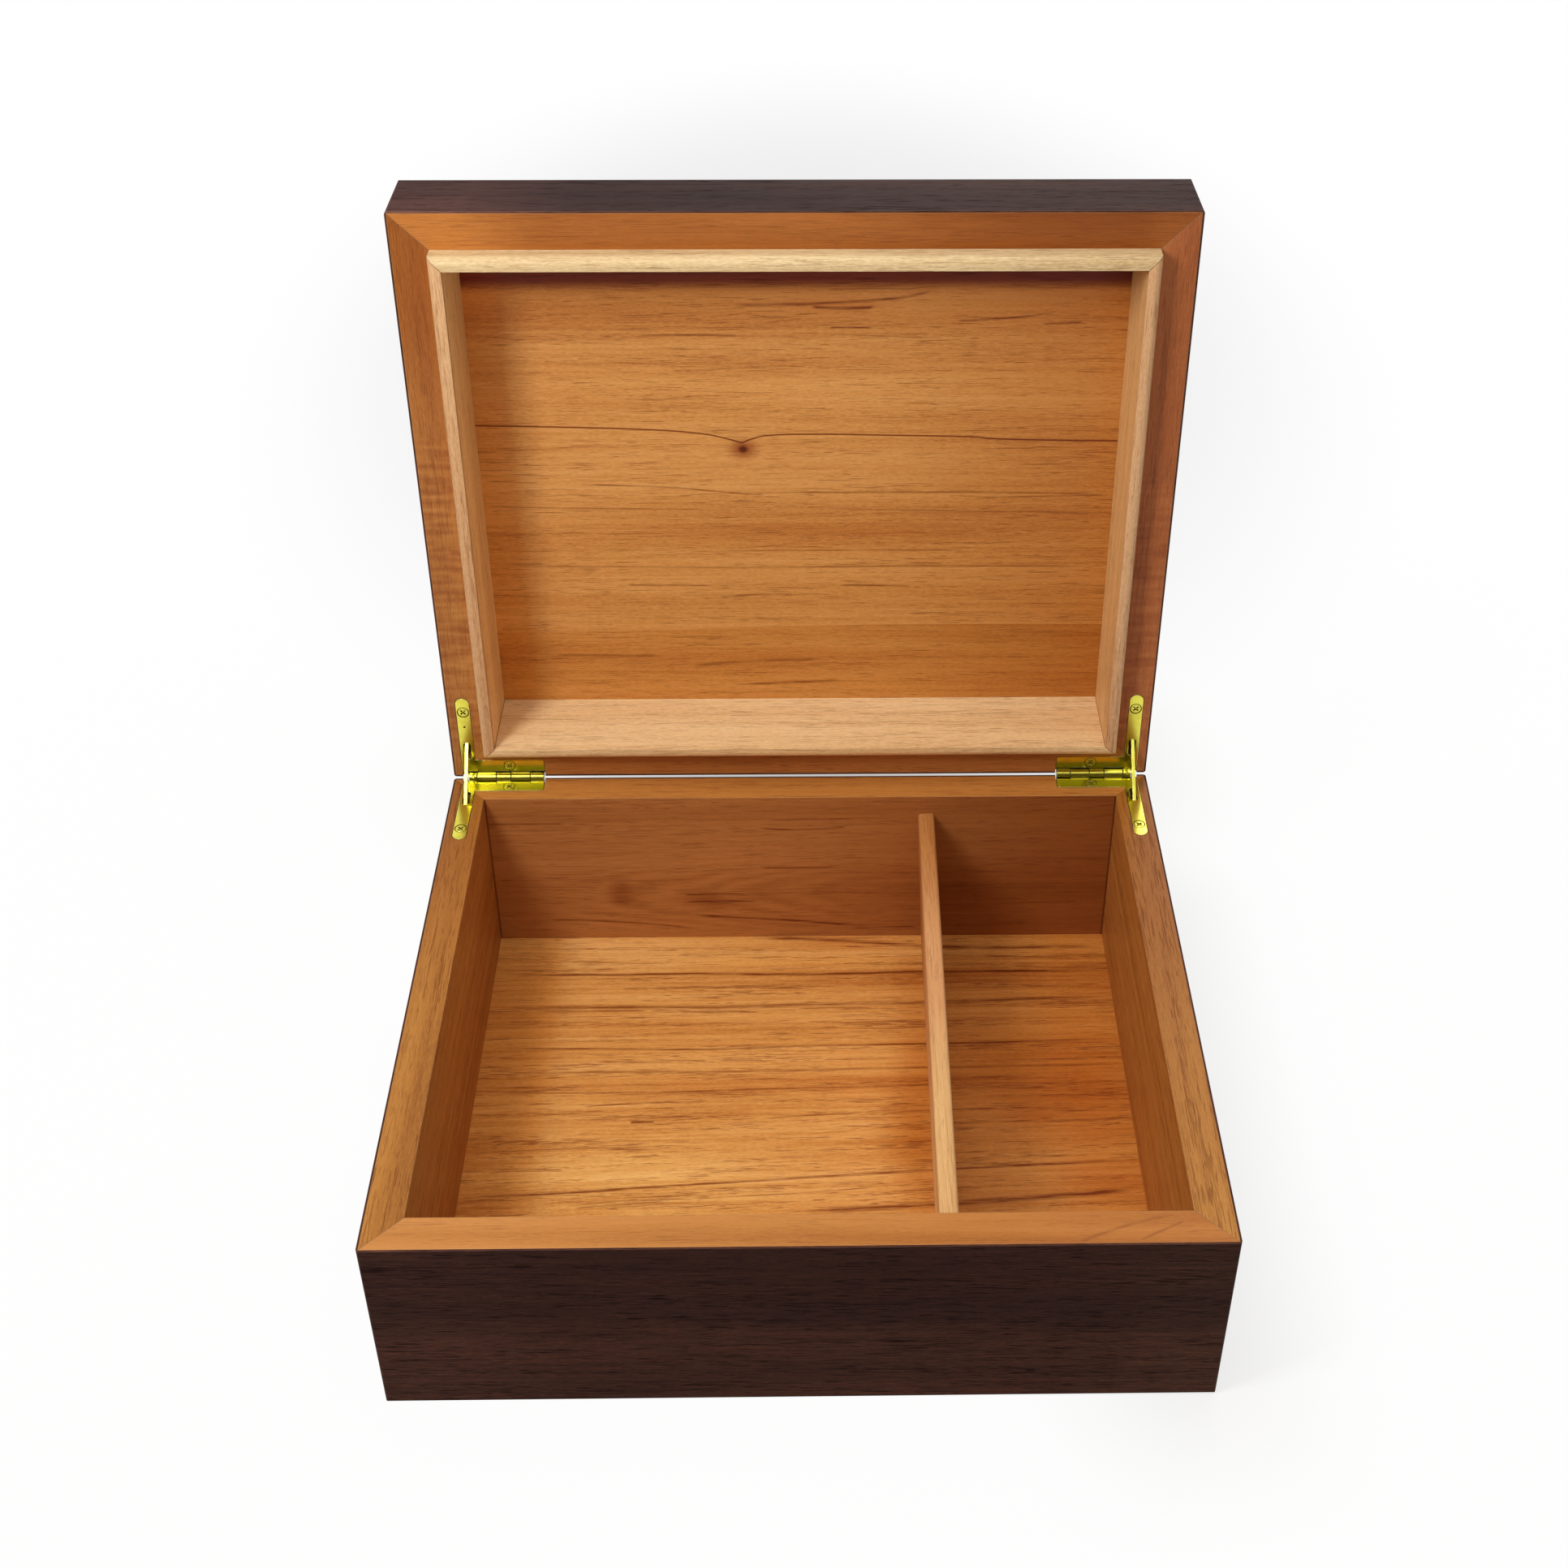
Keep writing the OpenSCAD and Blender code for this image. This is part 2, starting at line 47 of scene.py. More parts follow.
class Shade:
    """One material and short calls for the nodes inside it."""

    def __init__(self, name):
        self.material = bpy.data.materials.new(name)
        self.material.use_nodes = True
        self.nodes = self.material.node_tree.nodes
        self.links = self.material.node_tree.links
        self.nodes.clear()

    def add(self, kind, inputs=None, **settings):
        node = self.nodes.new(kind)
        for key, value in settings.items():
            setattr(node, key, value)
        for key, value in (inputs or {}).items():
            self.feed(node.inputs[key], value)
        return node

    def feed(self, socket, value):
        if isinstance(value, bpy.types.NodeSocket):
            self.links.new(value, socket)
        else:
            socket.default_value = value

    def math(self, operation, first, second=0.0, third=0.0, clamp=False):
        node = self.add("ShaderNodeMath", {0: first, 1: second, 2: third},
                        operation=operation, use_clamp=clamp)
        return node.outputs[0]

    def plus(self, first, second):
        return self.math("ADD", first, second)

    def minus(self, first, second):
        return self.math("SUBTRACT", first, second)

    def times(self, first, second):
        return self.math("MULTIPLY", first, second)

    def step(self, value, low, high, out_low=0.0, out_high=1.0):
        """Smooth step of value from low to high, held outside them."""
        node = self.add("ShaderNodeMapRange",
                        {0: value, 1: low, 2: high, 3: out_low, 4: out_high},
                        interpolation_type="SMOOTHSTEP", clamp=True)
        return node.outputs[0]

    def mix(self, amount, first, second, blend="MIX"):
        node = self.add("ShaderNodeMix", data_type="RGBA", blend_type=blend,
                        clamp_factor=True)
        self.feed(node.inputs[0], amount)
        self.feed(node.inputs[6], first)
        self.feed(node.inputs[7], second)
        return node.outputs[2]

    def combine(self, x, y, z):
        return self.add("ShaderNodeCombineXYZ", {0: x, 1: y, 2: z}).outputs[0]

    def separate(self, vector):
        return tuple(self.add("ShaderNodeSeparateXYZ", {0: vector}).outputs)

    def length(self, x, y):
        node = self.add("ShaderNodeVectorMath", {0: self.combine(x, y, 0.0)},
                        operation="LENGTH")
        return node.outputs["Value"]

    def noise(self, vector, size, seed=(0.0, 0.0, 0.0), detail=2.0, rough=0.5):
        """Noise from 0 to 1 whose cells are size mm along each direction."""
        place = self.add("ShaderNodeVectorMath",
                         {0: vector, 1: tuple(1.0 / s for s in size), 2: seed},
                         operation="MULTIPLY_ADD").outputs[0]
        node = self.add("ShaderNodeTexNoise",
                        {"Vector": place, "Scale": 1.0, "Detail": detail,
                         "Roughness": rough})
        return node.outputs[0]

    def ramp(self, value, stops):
        """Colours at places from 0 to 1; each stop is (place, colour)."""
        node = self.add("ShaderNodeValToRGB", {0: value})
        marks = node.color_ramp.elements
        while len(marks) < len(stops):
            marks.new(1.0)
        for mark, (place, colour) in zip(marks, stops):
            mark.position = place
            mark.color = (*colour, 1.0)
        return node.outputs[0]

    def curve(self, value, points, corner=None):
        """A smooth curve through (x, y) points; corner is the place of a sharp one."""
        xs = [x for x, _ in points]
        ys = [y for _, y in points]
        x_span = xs[-1] - xs[0]
        y_span = max(max(ys) - min(ys), FLATTEST)
        node = self.add("ShaderNodeFloatCurve")
        marks = node.mapping.curves[0].points
        while len(marks) < len(points):
            marks.new(0.5, 0.5)
        for mark, (x, y) in zip(marks, points):
            mark.location = ((x - xs[0]) / x_span, (y - min(ys)) / y_span)
        if corner is not None:
            marks[corner].handle_type = "VECTOR"
        node.mapping.update()
        place = self.math("MULTIPLY_ADD", value, 1.0 / x_span, -xs[0] / x_span)
        self.feed(node.inputs["Value"], place)
        return self.math("MULTIPLY_ADD", node.outputs[0], y_span, min(ys))

    def round_edges(self, radius_mm):
        """The normal with rounded edges, and 1 on the edges and 0 off them."""
        soft = self.add("ShaderNodeBevel", {"Radius": radius_mm * MM}, samples=4).outputs[0]
        plain = self.add("ShaderNodeNewGeometry").outputs["Normal"]
        alike = self.add("ShaderNodeVectorMath", {0: soft, 1: plain},
                         operation="DOT_PRODUCT").outputs["Value"]
        return soft, self.step(alike, *EDGE_COSINES)

    def finish(self, colour, roughness, height, depth_mm, normal, **settings):
        """The finished material; a height of 1 stands for depth_mm of relief."""
        bump = self.add("ShaderNodeBump", {"Height": height, "Strength": 1.0,
                                           "Distance": depth_mm * MM, "Normal": normal})
        shader = self.add("ShaderNodeBsdfPrincipled",
                          {"Base Color": colour, "Roughness": roughness,
                           "Normal": bump.outputs[0], **settings})
        output = self.add("ShaderNodeOutputMaterial")
        self.links.new(shader.outputs[0], output.inputs[0])
        return self.material


def closed_place(shade, on_lid):
    """Place in mm, with the lid's pieces turned back to the closed lid."""
    place = shade.add("ShaderNodeTexCoord").outputs["Object"]
    mapping = shade.add("ShaderNodeMapping", {0: place, 3: (1000.0, 1000.0, 1000.0)})
    if on_lid:
        turn = Matrix.Rotation(OPEN_ANGLE, 3, "X")
        mapping.inputs["Rotation"].default_value = (OPEN_ANGLE, 0.0, 0.0)
        mapping.inputs["Location"].default_value = PIN_MM - turn @ PIN_MM
    return mapping.outputs[0]


# ---- wood --------------------------------------------------------------------


def srgb(red, green, blue):
    """A colour given in 0 to 255 screen values, as linear values."""
    def linear(value):
        value /= 255.0
        if value <= 0.04045:
            return value / 12.92
        return ((value + 0.055) / 1.055) ** 2.4
    return (linear(red), linear(green), linear(blue))


BEND = (110.0, 40.0, 40.0)   # size in mm of the grain's wandering
SEED_STEPS = ((3.71, 17.3), (1.93, 5.9), (7.17, 11.1))   # for the board and the noise
JOINT_SOFT = 0.15
GRAIN_JUMP = 400.0
SPOT_EDGES = (1.0, 0.1)
LINE_EDGES = (1.25, 0.05)
LINE_FADE = 0.12   # share of a drawn line over which each of its ends fades


class Board:
    """The grain of one board: u runs along it, v across it and w into it."""

    def __init__(self, name, look):
        self.shade = Shade(name)
        self.seed = look["seed"]
        place = closed_place(self.shade, look["on_lid"])
        self.x, self.y, self.z = self.shade.separate(place)
        named = {"x": self.x, "y": self.y, "z": self.z}
        self.u, self.v, self.w = (named[axis] for axis in look["along"])

    def settle(self, look):
        """Fixes the grain's space: it climbs, fans out and wanders a little."""
        s = self.shade
        plain = s.combine(self.u, self.v, self.w)
        bend = s.noise(plain, BEND, (self.seed, 0.0, 0.0), 1.0)
        lean = s.math("MULTIPLY_ADD", self.v, look["fan"], look["slope"])
        shift = s.math("MULTIPLY_ADD", s.minus(bend, 0.5), 2.0 * look["wander"],
                       s.times(self.u, lean))
        self.space = s.add("ShaderNodeVectorMath",
                           {0: plain, 1: s.combine(0.0, shift, shift)},
                           operation="ADD").outputs[0]

    def noise(self, length, width, number, detail=2.0, rough=0.5):
        seed = tuple(self.seed * own + number * each for own, each in SEED_STEPS)
        return self.shade.noise(self.space, (length, width, width), seed, detail, rough)

    def split(self, points):
        """1 beyond a joint along (u, v) points, where the grain starts afresh."""
        s = self.shade
        beyond = s.step(s.minus(self.v, s.curve(self.u, points)), -JOINT_SOFT, JOINT_SOFT)
        afresh = s.combine(s.times(beyond, GRAIN_JUMP), 0.0, 0.0)
        self.space = s.add("ShaderNodeVectorMath", {0: self.space, 1: afresh},
                           operation="ADD").outputs[0]
        return beyond

    def spot(self, place, reach):
        """1 in the middle of a soft oval at (u, v) and 0 from its edge on."""
        s = self.shade
        across = s.math("MULTIPLY_ADD", self.u, 1.0 / reach[0], -place[0] / reach[0])
        up = s.math("MULTIPLY_ADD", self.v, 1.0 / reach[1], -place[1] / reach[1])
        return s.step(s.length(across, up), *SPOT_EDGES)

    def line(self, points, width):
        """A soft line through (u, v) points: 1 along it, 0 from a little over width off it."""
        s = self.shade
        away = s.math("ABSOLUTE", s.minus(self.v, s.curve(self.u, points)))
        start, end = points[0][0], points[-1][0]
        fade = LINE_FADE * (end - start)
        ends = s.times(s.step(self.u, start, start + fade), s.step(self.u, end, end - fade))
        return s.times(s.step(away, *(share * width for share in LINE_EDGES)), ends)


# What a board is unless it says otherwise. Lengths are mm, and the rest are shares:
#   slope, fan, wander       how the grain climbs, spreads out and strays
#   tone to speckle          how much each size of grain changes the colour
#   pore, pore_edge, crowd   how dark, how rare and how gathered the short dashes are
#   curl, curl_zone          ripples across the grain, and where along the board
#   figure, marks            a board's own function for its colour and for its drawing
#   lines, spots, tints      drawn grain lines, soft ovals and changes of colour
#   split, split_tint        the joint of a board in two pieces, and the far one's colour
#   seam, bright_edge        how dark the mitres are, and how pale the edges: wear and painted highlight
LOOK = dict(on_lid=False, slope=0.0, fan=0.0, wander=0.8, tone=0.8, tone_width=15.0,
            streaks=0.6, fibre=0.40, speckle=0.25, pore=0.6, pore_edge=0.67, crowd=0.45,
            figure=None, curl=0.0, curl_zone=(0.0, 1.0), lines=(), spots=(), seam=0.4,
            marks=None, tints=(), split=None, split_tint=None, bright_edge=0.35,
            rough=0.45, specular=0.22, coat=0.06, depth=0.03)

# Sizes of the grain's noises in mm, along and across the grain.
TONE_LENGTH = 190.0
STREAK = (170.0, 1.6)
FIBRE = (12.0, 0.40)
CROWD = (60.0, 2.6)
SPECKLE = (1.8, 0.30)
RIPPLE = (2.3, 13.0)
CURL_FADE = 15.0
SHORT_PORE = (6.0, 0.25)
LONG_PORE = (13.0, 0.33)
BREAKS = (15.0, 0.8)
PORE_SLOPE = 12.0
RAMP_PLACES = (0.12, 0.5, 0.88)
SEAM_EDGES = (0.32, 0.06)
LINE_BREAKS = (0.36, 0.60, 0.5, 1.25)   # noise from, to, and a line's strength there
EDGE_ROUND_MM = 0.4
EDGE_PALENESS = 0.5
COAT_ROUGHNESS = 0.30

# What the dashes, the fibres and the worn edges add to the roughness, and to the relief.
PORE_ROUGH = 0.15
FIBRE_ROUGH = 0.12
WORN_ROUGH = -0.10
PORE_RELIEF = -0.8
FIBRE_RELIEF = 0.3
WHITE = (1.0, 1.0, 1.0, 1.0)


def grain_value(board, look, fibre):
    """Each place's tone, about 0.1 where the board is darkest and 0.9 where it is lightest."""
    s = board.shade
    tone = board.noise(TONE_LENGTH, look["tone_width"], 1, 1.0)
    streaks = board.noise(*STREAK, 2, 4.0, 0.6)
    speckle = board.noise(*SPECKLE, 5, 1.0)
    value = s.math("MULTIPLY_ADD", s.minus(tone, 0.5), look["tone"], 0.5)
    value = s.math("MULTIPLY_ADD", s.minus(streaks, 0.5), look["streaks"], value)
    value = s.math("MULTIPLY_ADD", s.minus(fibre, 0.5), look["fibre"], value)
    value = s.math("MULTIPLY_ADD", s.minus(speckle, 0.5), look["speckle"], value)
    if look["figure"]:
        value = look["figure"](board, value)
    if look["curl"]:
        ripple = board.noise(*RIPPLE, 9, 1.0)
        low, high = look["curl_zone"]
        zone = s.times(s.step(board.u, low, low + CURL_FADE),
                       s.step(board.u, high, high - CURL_FADE))
        value = s.math("MULTIPLY_ADD", s.times(s.minus(ripple, 0.5), zone),
                       look["curl"], value)
    return value


def tinted(s, amount, colour, factor):
    """The colour multiplied by a factor for red, green and blue, as far as amount says."""
    return s.mix(amount, colour, s.mix(1.0, colour, (*factor, 1.0), "MULTIPLY"))


def pores(board, look):
    """1 in the short dark dashes of the grain, which gather in crowds."""
    s = board.shade
    short = board.noise(*SHORT_PORE, 7, 0.0)
    longer = board.noise(*LONG_PORE, 8, 0.0)
    crowd = board.noise(*CROWD, 4, 2.0)
    edge = s.math("MULTIPLY_ADD", s.minus(0.5, crowd), look["crowd"], look["pore_edge"])
    return s.math("MULTIPLY", s.minus(s.math("MAXIMUM", short, longer), edge),
                  PORE_SLOPE, clamp=True)


def drawn(board, look, dark):
    """The darkness with the drawn lines and the dark mitres added."""
    s = board.shade
    if look["lines"]:
        broken = s.step(board.noise(*BREAKS, 21, 3.0), *LINE_BREAKS)
        for points, width, strength in look["lines"]:
            mark = s.times(s.times(board.line(points, width), broken), strength)
            dark = s.math("MAXIMUM", dark, mark)
    if look["seam"]:
        mitre = s.minus(s.minus(s.math("ABSOLUTE", board.x), BOX_HALF[0]),
                        s.minus(s.math("ABSOLUTE", board.y), BOX_HALF[1]))
        seam = s.step(s.math("ABSOLUTE", mitre), *SEAM_EDGES)
        dark = s.math("MAXIMUM", dark, s.times(seam, look["seam"]))
    return dark


def wood(name, look):
    """A board's material, with its lines, spots and other marks."""
    board = Board(name, look)
    s = board.shade
    board.settle(look)
    if look["split"]:
        beyond = board.split(look["split"])

    fibre = board.noise(*FIBRE, 3, 2.0)
    value = grain_value(board, look, fibre)
    colour = s.ramp(value, list(zip(RAMP_PLACES, (look["dark"], look["middle"],
                                                  look["light"]))))
    if look["split"]:
        colour = tinted(s, beyond, colour, look["split_tint"])
    board.plain = colour
    for axis, start, end, factor in look["tints"]:
        colour = tinted(s, s.step(getattr(board, axis), start, end), colour, factor)
    for place, reach, strength, factor in look["spots"]:
        colour = tinted(s, s.times(board.spot(place, reach), strength), colour, factor)

    pore = pores(board, look)
    dark = drawn(board, look, s.times(pore, look["pore"]))
    if look["marks"]:
        dark, colour = look["marks"](board, dark, colour)
    dark = s.math("MINIMUM", dark, 1.0)
    ink = s.mix(dark, WHITE, (*look["ink"], 1.0))
    colour = s.mix(1.0, colour, ink, "MULTIPLY")

    # The edges are paled: partly wear, partly a painted highlight along rims, lips and the
    # divider.
    normal, wear_and_highlight = s.round_edges(EDGE_ROUND_MM)
    wear_and_highlight = s.times(wear_and_highlight, look["bright_edge"])
    colour = s.mix(wear_and_highlight, colour, s.mix(EDGE_PALENESS, colour, (*look["edge"], 1.0)))
    rough = s.math("MULTIPLY_ADD", pore, PORE_ROUGH, look["rough"])
    rough = s.math("MULTIPLY_ADD", s.minus(fibre, 0.5), FIBRE_ROUGH, rough)
    rough = s.math("MULTIPLY_ADD", wear_and_highlight, WORN_ROUGH, rough)
    height = s.math("MULTIPLY_ADD", pore, PORE_RELIEF, s.times(fibre, FIBRE_RELIEF))
    return s.finish(colour, rough, height, look["depth"], normal,
                    **{"Specular IOR Level": look["specular"],
                       "Coat Weight": look["coat"], "Coat Roughness": COAT_ROUGHNESS})


INK = (0.34, 0.17, 0.09)

COLOURS = {
    "wall": dict(light=srgb(196, 134, 76), middle=srgb(182, 118, 62),
                 dark=srgb(154, 92, 44)),
    "floor": dict(light=srgb(242, 184, 110), middle=srgb(222, 156, 80),
                  dark=srgb(188, 112, 46)),
    "rail": dict(light=srgb(198, 132, 70), middle=srgb(182, 114, 55),
                 dark=srgb(156, 88, 40)),
    "lid_panel": dict(light=srgb(226, 166, 96), middle=srgb(212, 147, 76),
                      dark=srgb(188, 118, 56)),
    "divider": dict(light=srgb(232, 182, 132), middle=srgb(216, 158, 106),
                    dark=srgb(194, 132, 82)),
    "lip": dict(light=srgb(240, 200, 152), middle=srgb(225, 177, 128),
                dark=srgb(204, 150, 102)),
}


def board(name, along, kind, seed, **look):
    """Gives a CAD node its own board."""
    full = {**LOOK, "along": along, "seed": seed, "ink": INK,
            "edge": srgb(255, 226, 170), **COLOURS[kind], **look}
    dress(name, wood(name + "_wood", full))


def dress(name, material):
    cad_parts[name].material_slots[0].material = material


# ---- features drawn one by one, in mm -----------------------------------------

# A line is (points, width, how dark it is), with points as (along, across) the board.
# A spot is (middle, radii, strength, the factor on red, green and blue).
FLOOR_LINES = (
    (((-113, 75.6), (-85, 74.5), (-40, 74.7), (0, 74.0), (20, 74.3), (48, 75.0),
      (70, 74.9), (114, 75.5)), 0.9, 1.0),
    (((-113, 57.0), (-75, 57.6), (-40, 57.0), (0, 58.0), (55, 59.0), (85, 60.5),
      (114, 61.2)), 1.3, 0.75),
    (((-95, 55.3), (-70, 55.8), (-55, 55.4)), 0.7, 0.7),
    (((-45, 55.2), (-30, 54.8), (-18, 55.0)), 0.7, 0.7),
    (((-2, 56.0), (12, 56.4), (26, 56.2)), 0.6, 0.7),
    (((-113, 37.6), (-60, 36.6), (-35, 36.2), (0, 37.4), (40, 38.0), (70, 38.6),
      (114, 40.2)), 0.6, 0.85),
    (((-106, 25.0), (-60, 25.6), (-15, 25.4), (20, 26.2), (114, 27.3)), 0.7, 0.6),
    (((-113, 16.6), (-60, 15.8), (-15, 17.0), (30, 17.8), (60, 20.0)), 0.5, 0.6),
    (((-76, 9.4), (-60, 10.6), (-42, 11.4)), 0.45, 0.8),
    (((-59, 1.9), (-55, 2.2), (-50, 2.2)), 0.7, 1.0),
    (((-14, 3.2), (0, 4.4), (17, 5.4)), 0.45, 0.7),
    (((30, 5.6), (45, 6.6), (68, 7.2)), 0.5, 0.9),
    (((-113, -11.5), (-80, -9.5), (-50, -9.0)), 0.4, 0.5),
    (((-113, -29.9), (-80, -28.6), (-50, -26.4), (-10, -23.6), (30, -21.0),
      (60, -19.2), (85, -17.8), (114, -16.2)), 0.75, 0.95),
    (((-75, -35.0), (-60, -33.6), (-45, -32.6)), 0.5, 0.6),
    (((-30, -31.0), (0, -29.4), (25, -27.0)), 0.4, 0.6),
    (((0, -37.6), (25, -35.9), (45, -34.6), (65, -33.2), (85, -31.6), (112, -29.0)),
     1.6, 0.85),
    (((-22, 94.0), (15, 92.0), (42, 89.0), (60, 88.0), (85, 87.6), (114, 88.2)), 1.3, 0.8),
)
RED = (0.86, 0.66, 0.50)
# Painted shade among the floor's spots: (36, -4) and (43, 10) beside the divider, and (82, 22)
# over the right compartment.
FLOOR_SPOTS = (((98, 8), (46, 24), 0.9, (0.84, 0.70, 0.55)),
               ((78, 5), (12, 7), 0.5, RED),
               ((36, -4), (16, 34), 0.9, (0.84, 0.70, 0.50)),
               ((43, 10), (16, 110), 0.9, (0.80, 0.64, 0.44)),
               ((-60, -28), (75, 40), 0.8, (1.20, 1.40, 1.58)),
               ((0, 81), (60, 5), 0.8, (1.20, 1.30, 1.32)),
               ((82, 22), (50, 42), 1.0, (0.88, 0.72, 0.52)),
               ((20, 90), (42, 7), 0.6, RED),
               ((98, -24), (26, 12), 0.5, RED),
               ((-20, 18), (110, 9), 0.35, RED),
               ((-10, -5.4), (62, 1.5), 0.8, (1.12, 1.22, 1.35)),
               ((-25, -31.8), (70, 1.2), 0.7, (1.1, 1.2, 1.3)))

LID_VEIN = ((-108.4, -21.7), (-77.0, -21.0), (-50.0, -20.0), (-33.8, -18.6),
            (-25.5, -16.9), (-19.0, -14.9), (-14.7, -16.7), (-9.0, -17.8), (0.0, -18.1),
            (32.0, -17.6), (59.5, -16.9), (66.0, -16.2), (108.4, -15.2))
VEIN_CORNER = 5   # the point where the vein turns sharply, beside the knot
VEIN_EDGES = (0.42, 0.12)
KNOT = (-18.7, -12.5)
KNOT_RADII = (2.4, 2.1)
DRAWN_DARK = 1.2
# Painted shadow: the lip's shadow on the lid panel, a dark band under the front lip.
LID_LIP_SHADOW = (-69.0, -74.0)   # y over which the deep shade under the front lip sets in
LID_LIP_SHADOW_FACTOR = (0.28, 0.08, 0.01)
LID_JOINT = ((-108.4, 60.6), (-60.0, 60.2), (-20.0, 59.0), (0.0, 58.4), (40.0, 58.0),
             (108.4, 58.4))
LID_LINES = (
    (((-75, 0.8), (-45, 2.0), (-25, 4.0), (-12, 5.2)), 0.4, 0.75),
    (((-20, 5.0), (0, 4.2), (40, 4.2), (75, 4.6), (108, 5.3)), 0.4, 0.6),
    (((60, 6.6), (85, 6.0), (108, 5.6)), 0.4, 0.6),
    (((-110, 9.0), (-60, 10.3), (-30, 10.6)), 0.4, 0.5),
    (((10, 10.6), (60, 11.8), (108, 12.6)), 0.4, 0.45),
    (((-108, 33.2), (-70, 33.4), (-20, 34.0), (40, 33.8), (108, 34.6)), 0.5, 0.55),
    (((-32, 27.6), (10, 27.2), (60, 27.4)), 0.4, 0.5),
    (((-62, 41.0), (-30, 41.4)), 0.5, 0.6),
    (((14, 41.4), (40, 42.0)), 0.5, 0.7),
    (((-24, 45.6), (-2, 44.8)), 0.5, 0.6),
    (((-54, -53.6), (-36, -54.5), (-18, -54.0)), 0.5, 0.75),
    (((10, -57.1), (25, -57.0)), 0.5, 0.9),
    (((51, -59.2), (66, -60.0), (82, -61.6)), 0.5, 0.85),
    (((80, -58.0), (94, -58.8)), 0.5, 0.85),
    (((-22, -64.8), (5, -65.4), (26, -66.6), (46, -70.6)), 0.7, 0.8),
    (((4, -64.6), (16, -63.8), (26, -64.8)), 0.8, 0.8),
    (((-42, -41.6), (-20, -42.6)), 0.4, 0.4),
    (((-20, 83.6), (15, 82.0)), 0.8, 0.7),
    (((-40, 75.4), (-10, 73.2), (8, 72.8)), 1.0, 0.6),
    (((-90, 70.4), (-50, 71.0)), 0.9, 0.5),
)
LID_SPOTS = ((KNOT, (7.5, 5.5), 1.0, (0.50, 0.28, 0.20)),
             ((0, 20), (120, 9), 0.35, RED),
             ((12, -65), (28, 4.5), 0.55, RED),
             ((0, -33), (110, 16), 0.35, (1.08, 1.12, 1.18)),
             ((0, 72), (95, 9), 0.30, RED))


def lid_panel_marks(board, dark, colour):
    """The vein, the knot it bends round, and a painted shadow under the front lip."""
    s = board.shade
    vein = s.curve(board.x, LID_VEIN, VEIN_CORNER)
    away = s.math("ABSOLUTE", s.minus(board.y, vein))
    dark = s.math("MAXIMUM", dark, s.times(s.step(away, *VEIN_EDGES), DRAWN_DARK))
    dark = s.math("MAXIMUM", dark, s.times(board.spot(KNOT, KNOT_RADII), DRAWN_DARK))
    # Painted shadow under the front lip.
    colour = tinted(s, s.step(board.y, *LID_LIP_SHADOW), colour, LID_LIP_SHADOW_FACTOR)
    return dark, colour


FIGURE_NOSE = (-72.0, 24.0)   # x and z of its tip
FIGURE_POINT = 0.0105         # how fast the rings bend back from the tip
FIGURE_RINGS = -0.040         # rings a mm along the wall
FIGURE_BEND_SIZE = (34.0, 9.0)
FIGURE_BEND = 1.6
FIGURE_DEPTH = 0.12
FIGURE_LEFT = (-96.0, -72.0)
FIGURE_RIGHT = (45.0, -30.0)
FIGURE_HEIGHT = (24.0, 8.0)


def back_wall_figure(board, value):
    """A pointed figure lying along the grain, with its nose near the left end."""
    s = board.shade
    rise = s.minus(board.z, FIGURE_NOSE[1])
    nose = s.times(s.times(rise, rise), FIGURE_POINT)
    figure = s.math("MULTIPLY_ADD", s.minus(board.x, FIGURE_NOSE[0]), FIGURE_RINGS, nose)
    bend = board.noise(*FIGURE_BEND_SIZE, 12, 2.0)
    figure = s.math("MULTIPLY_ADD", bend, FIGURE_BEND, figure)
    wave = s.math("COSINE", s.times(figure, 2.0 * math.pi))
    near = s.times(s.step(board.x, *FIGURE_RIGHT), s.step(board.x, *FIGURE_LEFT))
    near = s.times(near, s.step(s.math("ABSOLUTE", rise), *FIGURE_HEIGHT))
    return s.math("MULTIPLY_ADD", s.times(wave, near), FIGURE_DEPTH, value)


BACK_LINES = (
    (((-118, 58.2), (-84, 58.4)), 0.6, 0.6),
    (((-112, 55.0), (-78, 55.6)), 0.6, 0.5),
    (((-16, 56.0), (0, 55.0), (18, 57.6)), 0.6, 0.7),
    (((-8, 59.6), (20, 60.0)), 0.5, 0.5),
    (((-16, 37.2), (0, 36.8), (14, 37.2)), 0.6, 0.6),
    (((-44, 23.4), (-34, 24.2), (-20, 23.6)), 0.7, 0.7),
    (((-44, 19.8), (-30, 20.6), (-16, 20.2)), 0.6, 0.7),
    (((-40, 13.6), (-12, 11.6), (20, 8.0)), 0.8, 0.8),
    (((-96, 12.0), (-70, 10.8), (-40, 7.0)), 0.6, 0.6),
    (((18, 6.6), (44, 7.4)), 0.6, 0.6),
    (((70, 18.6), (104, 19.4)), 0.6, 0.5),
)
BACK_SPOTS = (((-67, 25), (7, 10), 0.75, (0.66, 0.50, 0.42)),
              ((-34, 21), (20, 6), 0.45, (0.72, 0.55, 0.45)),
              ((-86, 26), (14, 8), 0.4, (1.10, 1.10, 1.0)))


CORNER_DARK = 0.8
CORNER_WIDTH = (0.8, 0.2)   # from the corner, where the line begins and is full
CORNER_TOP = (0.2, 0.6)     # below the rim, where it begins and is full
RIM_DEPTH = (0.1, 0.3)      # below the rim, where the rim's colour gives way to the face's
LEFT_FACE = (1.0, 0.97, 1.08, 1.0)
RIGHT_FACE = (1.08, 1.0, 1.08, 1.0)
BACK_RIM = (1.12, 1.10, 0.82, 1.0)


